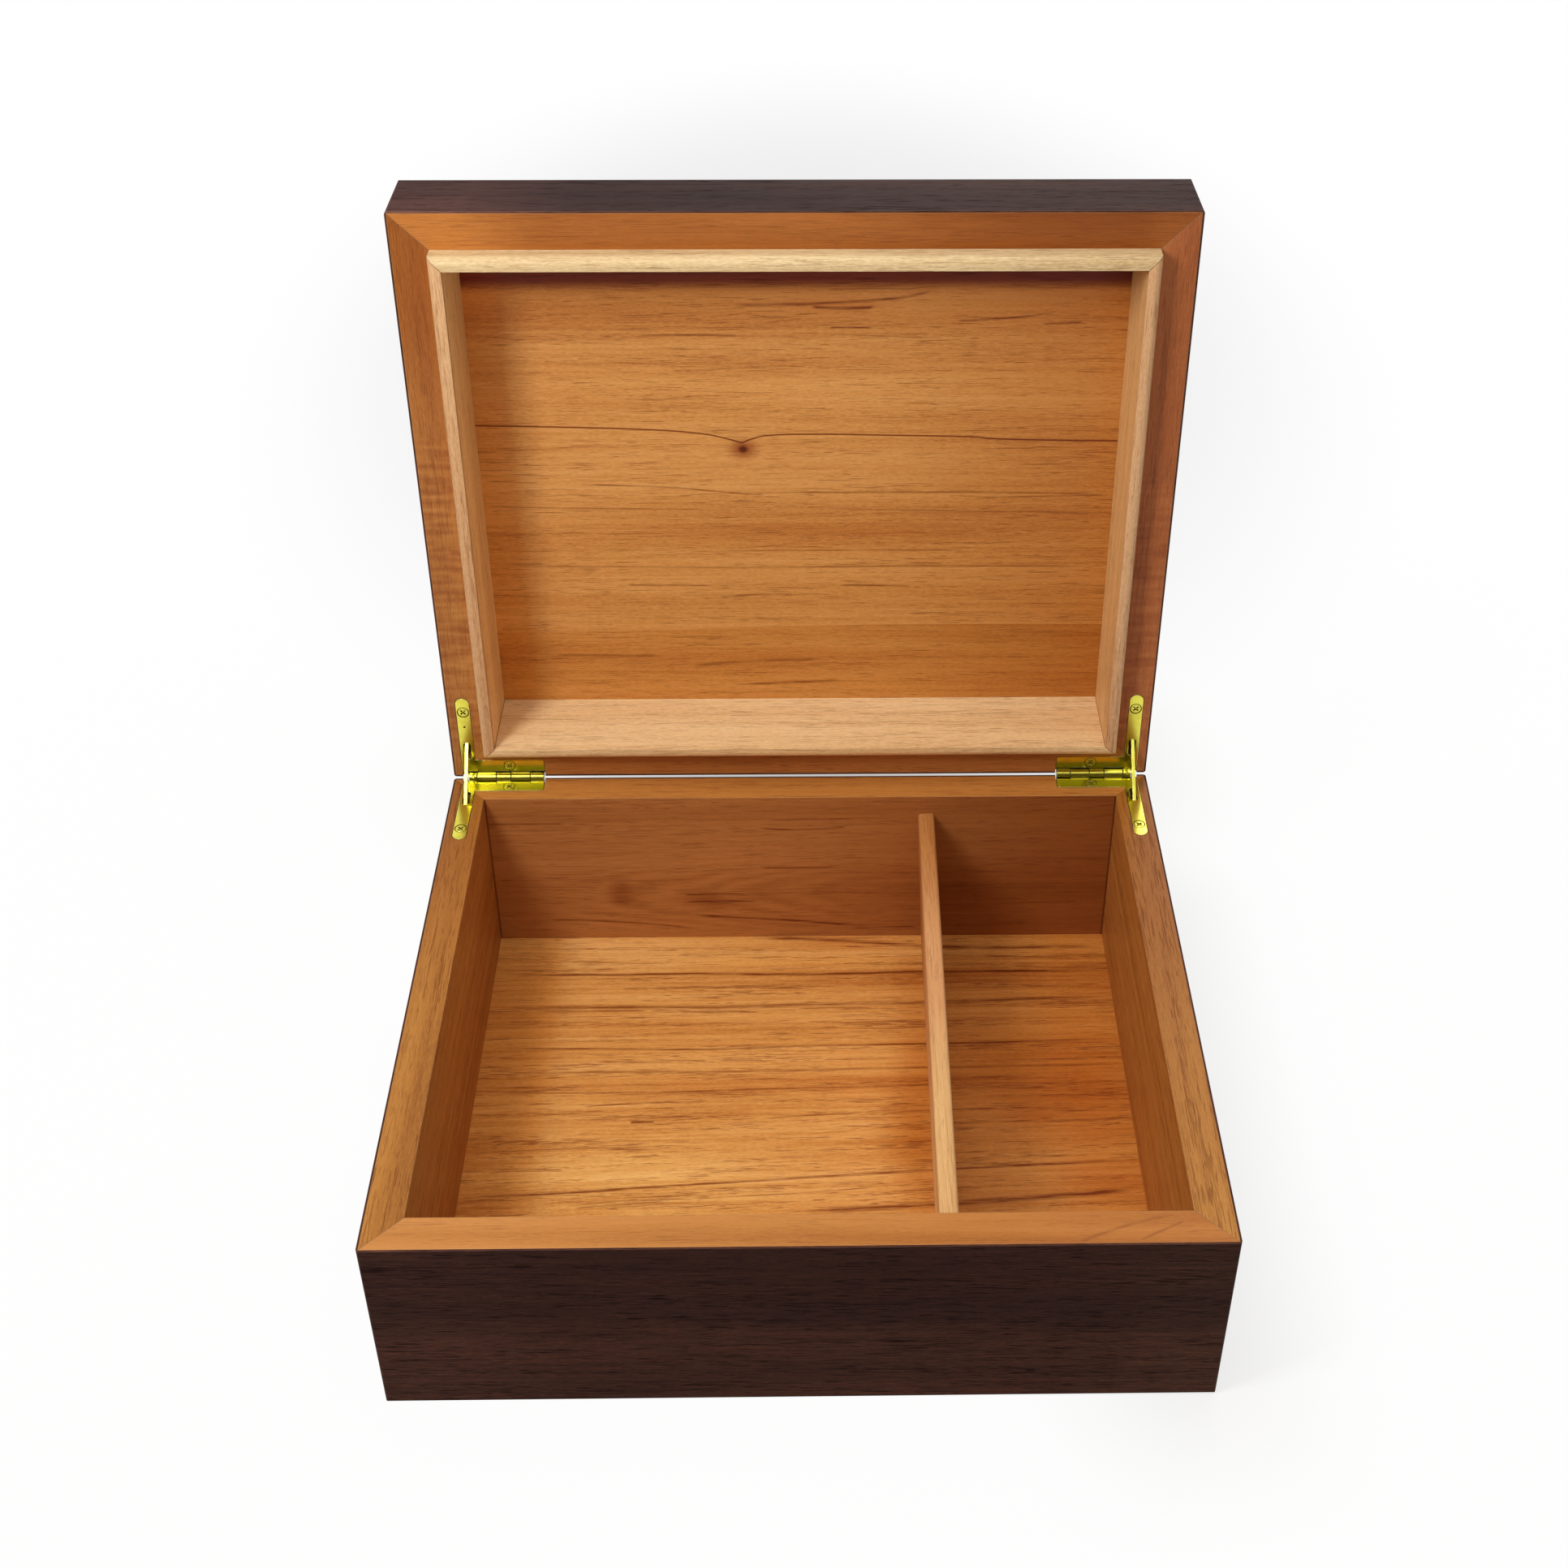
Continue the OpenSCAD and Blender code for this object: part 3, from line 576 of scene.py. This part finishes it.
def inner_corner(board, dark):
    """The darkness with a line down the corners where the base walls meet."""
    s = board.shade
    along = s.math("ABSOLUTE", board.u)
    half = WALL_INNER[0 if board.u is board.x else 1]
    line = s.times(s.step(along, half - CORNER_WIDTH[0], half - CORNER_WIDTH[1]),
                   s.step(along, half + 0.1, half))
    line = s.times(line, s.step(board.z, BASE_RIM - CORNER_TOP[0], BASE_RIM - CORNER_TOP[1]))
    return s.math("MAXIMUM", dark, s.times(line, CORNER_DARK))


def side_wall_marks(board, dark, colour):
    """The corner lines; the board's tints stay in its rim, and its face has its own."""
    s = board.shade
    face = s.mix(s.step(board.x, -100.0, 100.0), LEFT_FACE, RIGHT_FACE)
    face = s.mix(1.0, board.plain, face, "MULTIPLY")
    below_rim = s.step(board.z, BASE_RIM - RIM_DEPTH[0], BASE_RIM - RIM_DEPTH[1])
    return inner_corner(board, dark), s.mix(below_rim, colour, face)


def back_wall_marks(board, dark, colour):
    """The corner lines; the board's tints stay on its face, and its rim has its own."""
    s = board.shade
    rim = s.mix(1.0, board.plain, BACK_RIM, "MULTIPLY")
    at_rim = s.step(board.z, BASE_RIM - RIM_DEPTH[1], BASE_RIM - RIM_DEPTH[0])
    return inner_corner(board, dark), s.mix(at_rim, colour, rim)


# ---- boards ----------------------------------------------------------------------

board("base_front_wall", "xyz", "wall", 11, pore=0.3, pore_edge=0.72, streaks=0.35,
      tone=1.1, tone_width=7.0, wander=2.5, speckle=0.4,
      light=srgb(210, 145, 80), middle=srgb(196, 130, 64), dark=srgb(172, 106, 46),
      tints=(("x", -20.0, 90.0, (0.88, 0.77, 0.62)),),
      lines=((((78, -106), (92, -100), (106, -96)), 0.8, 0.35),
             (((96, -105), (110, -98)), 0.7, 0.35)))
# The back wall darkens towards the right: partly painted shadow of the divider, partly the
# board's own colour.
board("base_back_wall", "xzy", "wall", 12, figure=back_wall_figure, lines=BACK_LINES,
      spots=BACK_SPOTS, marks=back_wall_marks, pore=0.4, streaks=0.5,
      tints=(("x", -40.0, 110.0, (0.66, 0.50, 0.38)),))
SIDE_WALL = dict(marks=side_wall_marks, pore=0.55, pore_edge=0.66, streaks=0.6, tone=1.0,
                 tone_width=6.0, speckle=0.6,
                 light=srgb(188, 128, 58), middle=srgb(174, 113, 46),
                 dark=srgb(148, 90, 34))
board("base_left_wall", "yzx", "wall", 13, **SIDE_WALL,
      tints=(("y", -10.0, 75.0, (0.80, 0.68, 0.55)),))
board("base_right_wall", "yzx", "wall", 14, **SIDE_WALL,
      tints=(("y", -60.0, 40.0, (0.77, 0.64, 0.42)),
             ("y", -40.0, -100.0, (1.10, 1.16, 1.25))))
# The floor's tints from x 46 to 58 and 75 to 100 are painted shade over the right compartment,
# and -84 to -94 is painted shade in the left wall's shadow.
board("floor_panel", "xyz", "floor", 15, lines=FLOOR_LINES, spots=FLOOR_SPOTS, pore=0.65,
      pore_edge=0.70, crowd=0.9, speckle=0.5, slope=-0.0225, fan=0.00024, streaks=0.9, seam=0.0,
      tints=(("x", 46.0, 58.0, (0.92, 0.82, 0.70)), ("x", 75.0, 100.0, (0.90, 0.80, 0.66)),
             ("x", -84.0, -94.0, (0.97, 0.86, 0.68))))
board("divider", "yzx", "divider", 16, pore=0.3, seam=0.0, bright_edge=0.8,
      tints=(("y", 10.0, 90.0, (0.72, 0.58, 0.38)), ("y", 10.0, -50.0, (1.16, 1.40, 1.40))))
board("lid_front_rail", "xyz", "rail", 21, on_lid=True, pore=0.3, streaks=0.35,
      light=srgb(180, 109, 50), middle=srgb(157, 90, 33), dark=srgb(132, 70, 22),
      tints=(("x", -10.0, 80.0, (0.74, 0.62, 0.44)),
             ("x", -75.0, -110.0, (1.50, 1.75, 2.10)),
             ("x", 104.0, 116.0, (1.25, 1.35, 1.60))))
board("lid_back_rail", "xyz", "rail", 22, on_lid=True, pore=0.5)
board("lid_left_rail", "yxz", "rail", 23, on_lid=True, pore=0.3, streaks=0.3, curl=1.1,
      curl_zone=(-35.0, 100.0), speckle=0.5, light=srgb(198, 138, 72),
      middle=srgb(182, 118, 56), dark=srgb(156, 90, 40),
      tints=(("y", -25.0, -80.0, (0.72, 0.57, 0.34)),))
board("lid_right_rail", "yxz", "rail", 24, on_lid=True, pore=0.3, streaks=0.3, curl=0.8,
      curl_zone=(-20.0, 100.0), speckle=0.5, light=srgb(188, 116, 64), middle=srgb(170, 97, 50),
      dark=srgb(144, 76, 36))
# Of the panel's tints, y -50 to -66 is the painted soft edge of the lip's shadow, and x -92 to
# -100 is painted light in the left lip's shadow.
board("lid_panel", "xyz", "lid_panel", 25, on_lid=True, split=LID_JOINT,
      split_tint=(0.90, 0.82, 0.68), marks=lid_panel_marks, lines=LID_LINES,
      spots=LID_SPOTS, pore=0.55, pore_edge=0.70, streaks=0.8, tone=0.9, fibre=0.5,
      speckle=0.8, seam=0.0,
      tints=(("x", 10.0, 100.0, (0.82, 0.73, 0.60)),
             ("y", -50.0, -66.0, (1.0, 0.88, 0.74)),
             ("x", -92.0, -100.0, (1.15, 1.05, 0.86))))
LIP = dict(on_lid=True, pore=0.45, pore_edge=0.66, seam=0.8, bright_edge=0.4, speckle=0.9)
board("lip_front", "xzy", "lip", 31, **LIP, light=srgb(230, 206, 160),
      middle=srgb(212, 182, 134), dark=srgb(186, 150, 100))
board("lip_back", "xzy", "lip", 32, **LIP, light=srgb(250, 222, 174),
      middle=srgb(240, 203, 150), dark=srgb(222, 176, 120))
# Painted light and shade: lip_left's inner face is lighter and its rim edge darker.
board("lip_left", "yzx", "lip", 33, **LIP,
      tints=(("z", 66.0, 64.0, (0.84, 0.79, 0.73)), ("z", 64.0, 66.5, (1.22, 1.38, 1.22))))
board("lip_right", "yzx", "lip", 34, **LIP, tints=(("z", 64.0, 66.5, (0.95, 0.95, 0.78)),))


PALE_RIM = (2.2, 2.1, 1.9)   # the factor on a walnut skin's colour in the rim
SKIN_RIM = (0.3, 0.05)       # how far from the rim it begins and is full
WALNUT = dict(light=srgb(78, 46, 36), middle=srgb(56, 32, 26), dark=srgb(36, 20, 18),
              ink=(0.35, 0.32, 0.34), pore=0.8, pore_edge=0.66, tone=0.7, tone_width=18.0,
              streaks=0.5, rough=0.55, specular=0.03, coat=0.0, seam=0.0,
              edge=srgb(150, 116, 104), bright_edge=0.5)


def walnut(name, along, seed, on_lid=False, tints=(), **look):
    """A walnut skin; its thin edge in the rim is paler than its face."""
    rim = ("z", BASE_RIM - SKIN_RIM[0], BASE_RIM - SKIN_RIM[1], PALE_RIM)
    if on_lid:
        rim = ("z", LID_RIM + SKIN_RIM[0], LID_RIM + SKIN_RIM[1], PALE_RIM)
    look = {**LOOK, **WALNUT, "along": along, "seed": seed, "on_lid": on_lid,
            "tints": (rim, *tints), **look}
    dress(name, wood(name + "_wood", look))


walnut("base_front_skin", "xzy", 41,
       tints=(("z", 44.0, 24.0, (1.42, 1.43, 1.28)), ("x", -60.0, -115.0, (1.25, 1.32, 1.35)),
              ("x", 80.0, 118.0, (1.16, 1.28, 1.25))),
       spots=(((25, 54), (75, 20), 0.9, (0.80, 0.76, 0.74)),),
       tone=0.4, fibre=0.6, speckle=0.5, slope=0.02, pore=1.0)
walnut("base_back_skin", "xzy", 42)
walnut("base_left_skin", "yzx", 43)
walnut("base_right_skin", "yzx", 44)
# Painted sheen: the lid front skin's tints give a grey-blue cast, paler still towards its left
# end.
walnut("lid_front_skin", "xzy", 45, True,
       tints=(("x", 200.0, 190.0, (0.90, 1.12, 1.28)), ("x", -60.0, -112.0, (2.1, 2.0, 2.0))))
walnut("lid_back_skin", "xzy", 46, True)
walnut("lid_left_skin", "yzx", 47, True)
walnut("lid_right_skin", "yzx", 48, True)
walnut("lid_top_skin", "xyz", 49, True)


# ---- brass -----------------------------------------------------------------------

SCREWS = ((119.2, 78.5), (104.7, 101.85))           # of the right leaves, x and y
SCREW_HEAD = 2.0
KNUCKLE_ENDS = (5.5, 8.4, 15.3, 20.6, 27.5, 32.4)   # from the side of the box
BARREL_R = 2.1
DIMPLE = (-119.3, 84.8)
RING_EDGES = (0.26, 0.08)
JOINT_EDGES = (0.38, 0.14)
BARREL_SIDE_EDGES = (0.36, 0.12)
DIMPLE_EDGES = (0.55, 0.25)
CREVICE_MM = 1.6
CREVICE_EDGES = (0.80, 0.25)
BRASS_EDGE_ROUND_MM = 0.22
TARNISH_AND_SHADE = (*srgb(70, 52, 8), 1.0)
BRASS_EDGE_HIGHLIGHT = (*srgb(255, 252, 150), 1.0)
POLISH_LINES = (9.0, 0.09, 0.09)
POLISH_DEPTH_MM = 0.0015
CLOUDS = (4.0, 4.0, 4.0)
CLOUD_EDGES = (0.35, 0.75, 0.0, 0.45)   # noise from, to, and how much it tints there
CLOUD_FACTOR = (0.80, 0.70, 0.5)
CLOUD_ROUGH = 0.10
DARK_ROUGH = 0.25
BARREL_SHADE_DARK = 0.9
TARNISH_AND_SHADE_DARK = 0.92


def barrel_painted_shade(s, x, y, z):
    """Painted shade: 1 in the joints between the knuckles and along both sides of the barrel.
    """
    far = s.length(s.minus(y, PIN_MM.y), s.minus(z, PIN_MM.z))
    inward = s.minus(BOX_HALF[0], s.math("ABSOLUTE", x))
    joints = 0.0
    for end in KNUCKLE_ENDS:
        joints = s.math("MAXIMUM", joints,
                        s.step(s.math("ABSOLUTE", s.minus(inward, end)), *JOINT_EDGES))
    joints = s.times(joints, s.step(far, BARREL_R + 0.2, BARREL_R + 0.1))
    sides = s.step(s.math("ABSOLUTE", s.minus(far, BARREL_R + 0.25)), *BARREL_SIDE_EDGES)
    along = s.times(s.step(inward, KNUCKLE_ENDS[1] - 0.4, KNUCKLE_ENDS[1]),
                    s.step(inward, KNUCKLE_ENDS[-1] + 0.4, KNUCKLE_ENDS[-1]))
    return s.math("MAXIMUM", joints, s.times(sides, along))


def brass(name, colour, rough, on_lid=False, barrel=False):
    """Polished brass with painted highlights on its edges, and painted shade with tarnish in
    its crevices, recesses, screw rings and the barrel's joints.
    """
    s = Shade(name)
    x, y, z = s.separate(closed_place(s, on_lid))
    grain = s.combine(y, x, z)
    lines = s.noise(grain, POLISH_LINES, (3.0, 1.0, 2.0), 2.0)
    cloud = s.noise(grain, CLOUDS, (5.0, 8.0, 1.0), 2.0)
    tint = tinted(s, s.step(cloud, *CLOUD_EDGES), (*colour, 1.0), CLOUD_FACTOR)

    side = s.math("ABSOLUTE", x)
    # Painted shade: rings round the screw heads, the dimple and the barrel's joints; tarnish
    # and painted shade in the crevices.
    dark = 0.0
    for across, back in SCREWS:
        far = s.length(s.minus(side, across), s.minus(y, back))
        ring = s.step(s.math("ABSOLUTE", s.minus(far, SCREW_HEAD)), *RING_EDGES)
        dark = s.math("MAXIMUM", dark, ring)
    if on_lid:
        far = s.length(s.minus(x, DIMPLE[0]), s.minus(y, DIMPLE[1]))
        dark = s.math("MAXIMUM", dark, s.step(far, *DIMPLE_EDGES))
    open_air = s.add("ShaderNodeAmbientOcclusion", {"Distance": CREVICE_MM * MM}, samples=4)
    deep = s.step(open_air.outputs["AO"], *CREVICE_EDGES)
    dark = s.math("MAXIMUM", dark, deep)
    if barrel:
        dark = s.math("MAXIMUM", dark, s.times(barrel_painted_shade(s, x, y, z), BARREL_SHADE_DARK))
    tint = s.mix(s.times(dark, TARNISH_AND_SHADE_DARK), tint, TARNISH_AND_SHADE)

    # Painted highlight: the brass edges turn bright yellow.
    normal, wear_and_highlight = s.round_edges(BRASS_EDGE_ROUND_MM)
    tint = s.mix(s.times(wear_and_highlight, s.minus(1.0, dark)), tint, BRASS_EDGE_HIGHLIGHT)
    roughness = s.plus(rough, s.times(cloud, CLOUD_ROUGH))
    roughness = s.math("MULTIPLY_ADD", dark, DARK_ROUGH, roughness)
    return s.finish(tint, roughness, lines, POLISH_DEPTH_MM, normal, **{"Metallic": 1.0})


BRASS = (0.86, 0.80, 0.11)
for part, on_lid in (("base", False), ("lid", True)):
    plate = brass(part + "_brass", BRASS, 0.12, on_lid, barrel=True)
    for side in ("left", "right"):
        dress(side + "_" + part + "_leaf", plate)
    dress(part + "_hinge_screws", brass(part + "_screw_brass", BRASS, 0.16, on_lid))
turned = brass("turned_brass", BRASS, 0.10)
for side in ("left", "right"):
    dress(side + "_pin", turned)
    dress(side + "_stay", turned)


# ---- floor, light and camera --------------------------------------------------------

FLOOR_HALF = 12.0
FLOOR_WHITE = 0.92
WORLD_AMBIENT = 0.36
AMBIENT_COLOUR = (1.0, 0.92, 0.82, 1.0)
KEY_POWER = 2.75
OVERHEAD_POWER = 6.0
REAR_POWER = 5.0

# The floor's glow in metres. The camera sees it mixed with the plain floor, and the
# glow's share says how much of the shadows it hides.
SHARE_AT_BOX = 0.95
SHARE_AT_RIGHT = 0.74        # at the right side, where the photograph's shadow is
RIGHT_SIDE = (0.06, 0.125)   # x over which the one goes over into the other
SHARE_NEAR = 0.955
NEAR = 0.06                  # from the box
SHARE_ADDED_FAR = 0.035
FAR = (0.04, 0.40)
# Painted shadows on the floor: a grey oval behind the lid, and a dim oval where the floor shows
# between the lid and the base.
LID_SHADOW_OVAL = ((0.01, 0.60), (0.29, 0.40))     # middle and radii of the grey behind the lid
LID_SHADOW_EDGES = (1.15, 0.50)
LID_SHADOW_LEVEL = 0.86
GAP_SHADOW_OVAL = ((0.0, 0.20), (0.15, 0.10))      # of what shows between the lid and the base
GAP_SHADOW_EDGES = (1.30, 0.10)
GAP_SHADOW_SHARE = 0.20


def seen_directly(tree):
    """1 for what the camera sees, also by reflection or through glass, and 0 for light."""
    path = tree.nodes.new("ShaderNodeLightPath")
    total = path.outputs["Is Camera Ray"]
    for other in ("Is Glossy Ray", "Is Transmission Ray"):
        node = tree.nodes.new("ShaderNodeMath")
        node.operation = "MAXIMUM"
        tree.links.new(total, node.inputs[0])
        tree.links.new(path.outputs[other], node.inputs[1])
        total = node.outputs[0]
    return total


def oval(s, x, y, middle, radii):
    """The distance from the middle of an oval, 1 at its edge."""
    return s.length(s.times(s.minus(x, middle[0]), 1.0 / radii[0]),
                    s.times(s.minus(y, middle[1]), 1.0 / radii[1]))


def make_floor():
    """A white floor that glows for the camera, with two soft ovals of painted shadow."""
    mesh = bpy.data.meshes.new("floor")
    half = FLOOR_HALF
    mesh.from_pydata([(-half, -half, 0), (half, -half, 0), (half, half, 0),
                      (-half, half, 0)], [], [(0, 1, 2, 3)])
    floor = bpy.data.objects.new("floor", mesh)
    bpy.context.scene.collection.objects.link(floor)
    s = Shade("floor_white")
    plain = s.add("ShaderNodeBsdfDiffuse",
                  {"Color": (FLOOR_WHITE, FLOOR_WHITE, FLOOR_WHITE, 1.0)})
    x, y, _ = s.separate(s.add("ShaderNodeNewGeometry").outputs["Position"])
    # Painted shadow behind the lid, in the glow.
    lid_shadow = s.step(oval(s, x, y, *LID_SHADOW_OVAL), *LID_SHADOW_EDGES, 1.0, LID_SHADOW_LEVEL)
    glow = s.add("ShaderNodeEmission", {"Color": s.combine(lid_shadow, lid_shadow, lid_shadow),
                                        "Strength": 1.0})
    beside = s.math("MAXIMUM", s.minus(s.math("ABSOLUTE", x), BOX_HALF[0] * MM), 0.0)
    before = s.math("MAXIMUM", s.minus(s.math("ABSOLUTE", y), BOX_HALF[1] * MM), 0.0)
    away = s.length(beside, before)
    at_box = s.step(x, *RIGHT_SIDE, SHARE_AT_BOX, SHARE_AT_RIGHT)
    share = s.plus(s.step(away, 0.0, NEAR, at_box, SHARE_NEAR),
                   s.step(away, *FAR, 0.0, SHARE_ADDED_FAR))
    gap_shadow = s.step(oval(s, x, y, *GAP_SHADOW_OVAL), *GAP_SHADOW_EDGES, 1.0, GAP_SHADOW_SHARE)
    share = s.times(seen_directly(s.material.node_tree), s.times(share, gap_shadow))
    mixed = s.add("ShaderNodeMixShader", {0: share})
    s.links.new(plain.outputs[0], mixed.inputs[1])
    s.links.new(glow.outputs[0], mixed.inputs[2])
    output = s.add("ShaderNodeOutputMaterial")
    s.links.new(mixed.outputs[0], output.inputs[0])
    mesh.materials.append(s.material)


def make_world():
    """White for the camera and in reflections, and a dimmer, warmer light on the rest."""
    world = bpy.data.worlds.new("studio")
    bpy.context.scene.world = world
    world.use_nodes = True
    tree = world.node_tree
    tree.nodes.clear()
    ambient = tree.nodes.new("ShaderNodeBackground")
    ambient.inputs["Strength"].default_value = WORLD_AMBIENT
    ambient.inputs["Color"].default_value = AMBIENT_COLOUR
    white = tree.nodes.new("ShaderNodeBackground")
    white.inputs["Strength"].default_value = 1.0
    white.inputs["Color"].default_value = WHITE
    mixed = tree.nodes.new("ShaderNodeMixShader")
    output = tree.nodes.new("ShaderNodeOutputWorld")
    tree.links.new(seen_directly(tree), mixed.inputs[0])
    tree.links.new(ambient.outputs[0], mixed.inputs[1])
    tree.links.new(white.outputs[0], mixed.inputs[2])
    tree.links.new(mixed.outputs[0], output.inputs[0])


def make_lamp(name, place, aim, size, power):
    """An area lamp that shines from place towards aim, in metres."""
    lamp = bpy.data.lights.new(name, "AREA")
    lamp.shape = "RECTANGLE"
    lamp.size = size[0]
    lamp.size_y = size[1]
    lamp.energy = power
    holder = bpy.data.objects.new(name, lamp)
    holder.location = place
    direction = Vector(aim) - Vector(place)
    holder.rotation_euler = direction.to_track_quat("-Z", "Y").to_euler()
    holder.visible_camera = False
    bpy.context.scene.collection.objects.link(holder)


def make_dark_card():
    """A dark sheet behind the camera, seen only in reflections: painted dark reflections on the
    brass, standing in for the dim side of the room.
    """
    half = 1.6
    front = -1.3
    low = 0.05
    high = 1.5
    mesh = bpy.data.meshes.new("dark_card")
    mesh.from_pydata([(-half, front, low), (half, front, low), (half, front, high),
                      (-half, front, high)], [], [(0, 1, 2, 3)])
    card = bpy.data.objects.new("dark_card", mesh)
    bpy.context.scene.collection.objects.link(card)
    s = Shade("card_dark")
    plain = s.add("ShaderNodeBsdfDiffuse", {"Color": (0.10, 0.10, 0.10, 1.0)})
    output = s.add("ShaderNodeOutputMaterial")
    s.links.new(plain.outputs[0], output.inputs[0])
    mesh.materials.append(s.material)
    card.visible_camera = False
    card.visible_diffuse = False
    card.visible_shadow = False


def make_camera():
    """The photograph's view: focal length and centre in pixels, place in mm."""
    width = 1932.0
    focal = 2606.5
    centre = (1041.2, 888.2)
    place = Vector((3.9, -492.9, 547.0))
    yaw, pitch, roll = (math.radians(a) for a in (1.144, 37.009, 0.370))
    forward = Vector((math.sin(yaw) * math.cos(pitch), math.cos(yaw) * math.cos(pitch),
                      -math.sin(pitch)))
    right = Vector((math.cos(yaw), -math.sin(yaw), 0.0))
    up = right.cross(forward)
    right_rolled = math.cos(roll) * right + math.sin(roll) * up
    up_rolled = math.cos(roll) * up - math.sin(roll) * right
    turn = Matrix((right_rolled, up_rolled, -forward)).transposed()
    camera = bpy.data.cameras.new("camera")
    camera.sensor_width = 36.0
    camera.lens = focal / width * camera.sensor_width
    camera.shift_x = (width / 2 - centre[0]) / width
    camera.shift_y = (centre[1] - width / 2) / width
    holder = bpy.data.objects.new("camera", camera)
    holder.matrix_world = Matrix.Translation(place * MM) @ turn.to_4x4()
    bpy.context.scene.collection.objects.link(holder)
    bpy.context.scene.camera = holder


make_floor()
make_world()
make_dark_card()
make_lamp("key", place=(-0.285, -0.235, 0.60), aim=(0.0, 0.0, 0.52), size=(0.13, 0.28),
          power=KEY_POWER)
make_lamp("overhead", place=(0.0, -0.10, 1.50), aim=(0.0, 0.0, 0.0), size=(1.2, 1.2),
          power=OVERHEAD_POWER)
make_lamp("rear", place=(0.3, 1.30, 0.80), aim=(0.0, 0.10, 0.15), size=(1.0, 0.8),
          power=REAR_POWER)
make_camera()
bpy.context.scene.view_settings.view_transform = "Standard"
